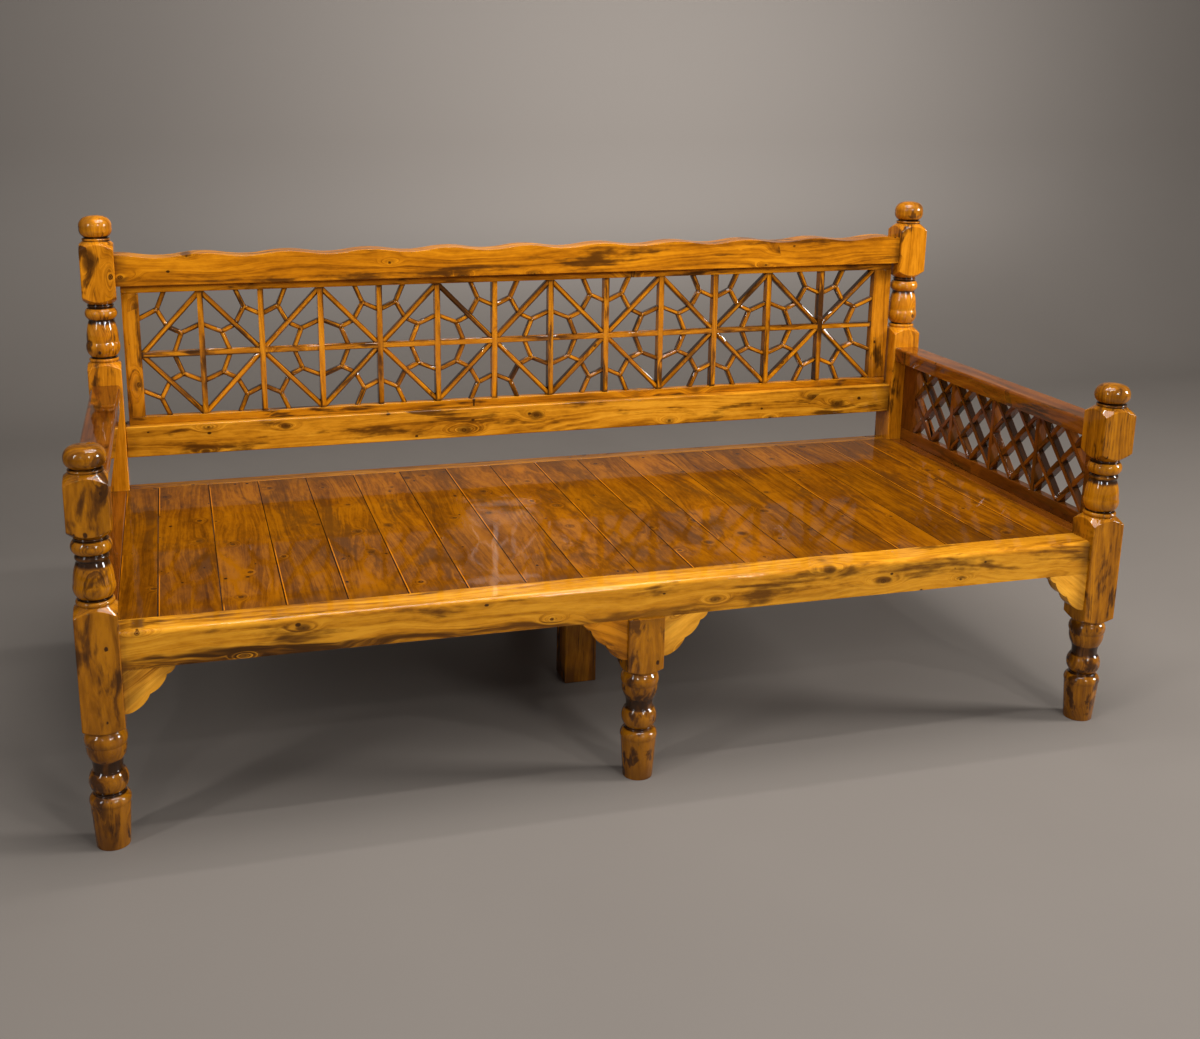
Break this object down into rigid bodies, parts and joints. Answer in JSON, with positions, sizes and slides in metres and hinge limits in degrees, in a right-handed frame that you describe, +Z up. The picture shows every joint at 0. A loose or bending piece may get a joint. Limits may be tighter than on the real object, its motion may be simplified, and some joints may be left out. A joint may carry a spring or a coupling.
{
  "type": "persian takht daybed",
  "caption": "Wide varnished pine daybed with turned corner posts, a boarded seat, a low lattice back with a waved top rail, and lattice arms.",
  "frame": {"origin": "on the floor, at the middle of the rectangle of the four corner posts", "axes": "+X along the length to the right as seen from the open front, +Y towards the lattice back, +Z up"},
  "size_m": [2, 0.9, 0.997],
  "materials": {
    "post_pine": "torch-burnt pine under glossy amber varnish",
    "plain_leg_pine": "torch-burnt pine under glossy amber varnish",
    "rail_pine": "torch-burnt pine under glossy amber varnish",
    "under_pine": "torch-burnt pine under glossy amber varnish",
    "seat_pine": "torch-burnt pine under glossy amber varnish",
    "lattice_pine": "torch-burnt pine under glossy amber varnish",
    "bracket_pine": "torch-burnt pine under glossy amber varnish"
  },
  "bodies": {
    "root": {"arm_rail_left": "rail_pine", "arm_rail_right": "rail_pine", "arm_sill_left": "lattice_pine", "arm_sill_right": "lattice_pine", "arm_slants_left": "lattice_pine", "arm_slants_right": "lattice_pine", "arm_stile_front_left": "lattice_pine", "arm_stile_front_right": "lattice_pine", "arm_stile_rear_left": "lattice_pine", "arm_stile_rear_right": "lattice_pine", "arm_uprights_left": "lattice_pine", "arm_uprights_right": "lattice_pine", "back_batten_lower": "lattice_pine", "back_batten_upper": "lattice_pine", "back_diagonals": "lattice_pine", "back_middle_bar": "lattice_pine", "back_rail_lower": "rail_pine", "back_rail_upper": "rail_pine", "back_rings": "lattice_pine", "back_stile_left": "lattice_pine", "back_stile_right": "lattice_pine", "back_uprights": "lattice_pine", "bracket_left": "bracket_pine", "bracket_middle_left": "bracket_pine", "bracket_middle_right": "bracket_pine", "bracket_right": "bracket_pine", "leg_back_middle": "plain_leg_pine", "leg_centre": "plain_leg_pine", "leg_front_middle": "post_pine", "post_back_left": "post_pine", "post_back_right": "post_pine", "post_front_left": "post_pine", "post_front_right": "post_pine", "seat_bearer": "under_pine", "seat_board_01": "seat_pine", "seat_board_02": "seat_pine", "seat_board_03": "seat_pine", "seat_board_04": "seat_pine", "seat_board_05": "seat_pine", "seat_board_06": "seat_pine", "seat_board_07": "seat_pine", "seat_board_08": "seat_pine", "seat_board_09": "seat_pine", "seat_board_10": "seat_pine", "seat_board_11": "seat_pine", "seat_board_12": "seat_pine", "seat_board_13": "seat_pine", "seat_board_14": "seat_pine", "seat_board_15": "seat_pine", "seat_board_16": "seat_pine", "seat_board_17": "seat_pine", "seat_board_18": "seat_pine", "seat_ledger_back": "under_pine", "seat_ledger_front": "under_pine", "seat_rail_back": "rail_pine", "seat_rail_front": "rail_pine", "seat_rail_left": "rail_pine", "seat_rail_right": "rail_pine"}
  },
  "joints": []
}
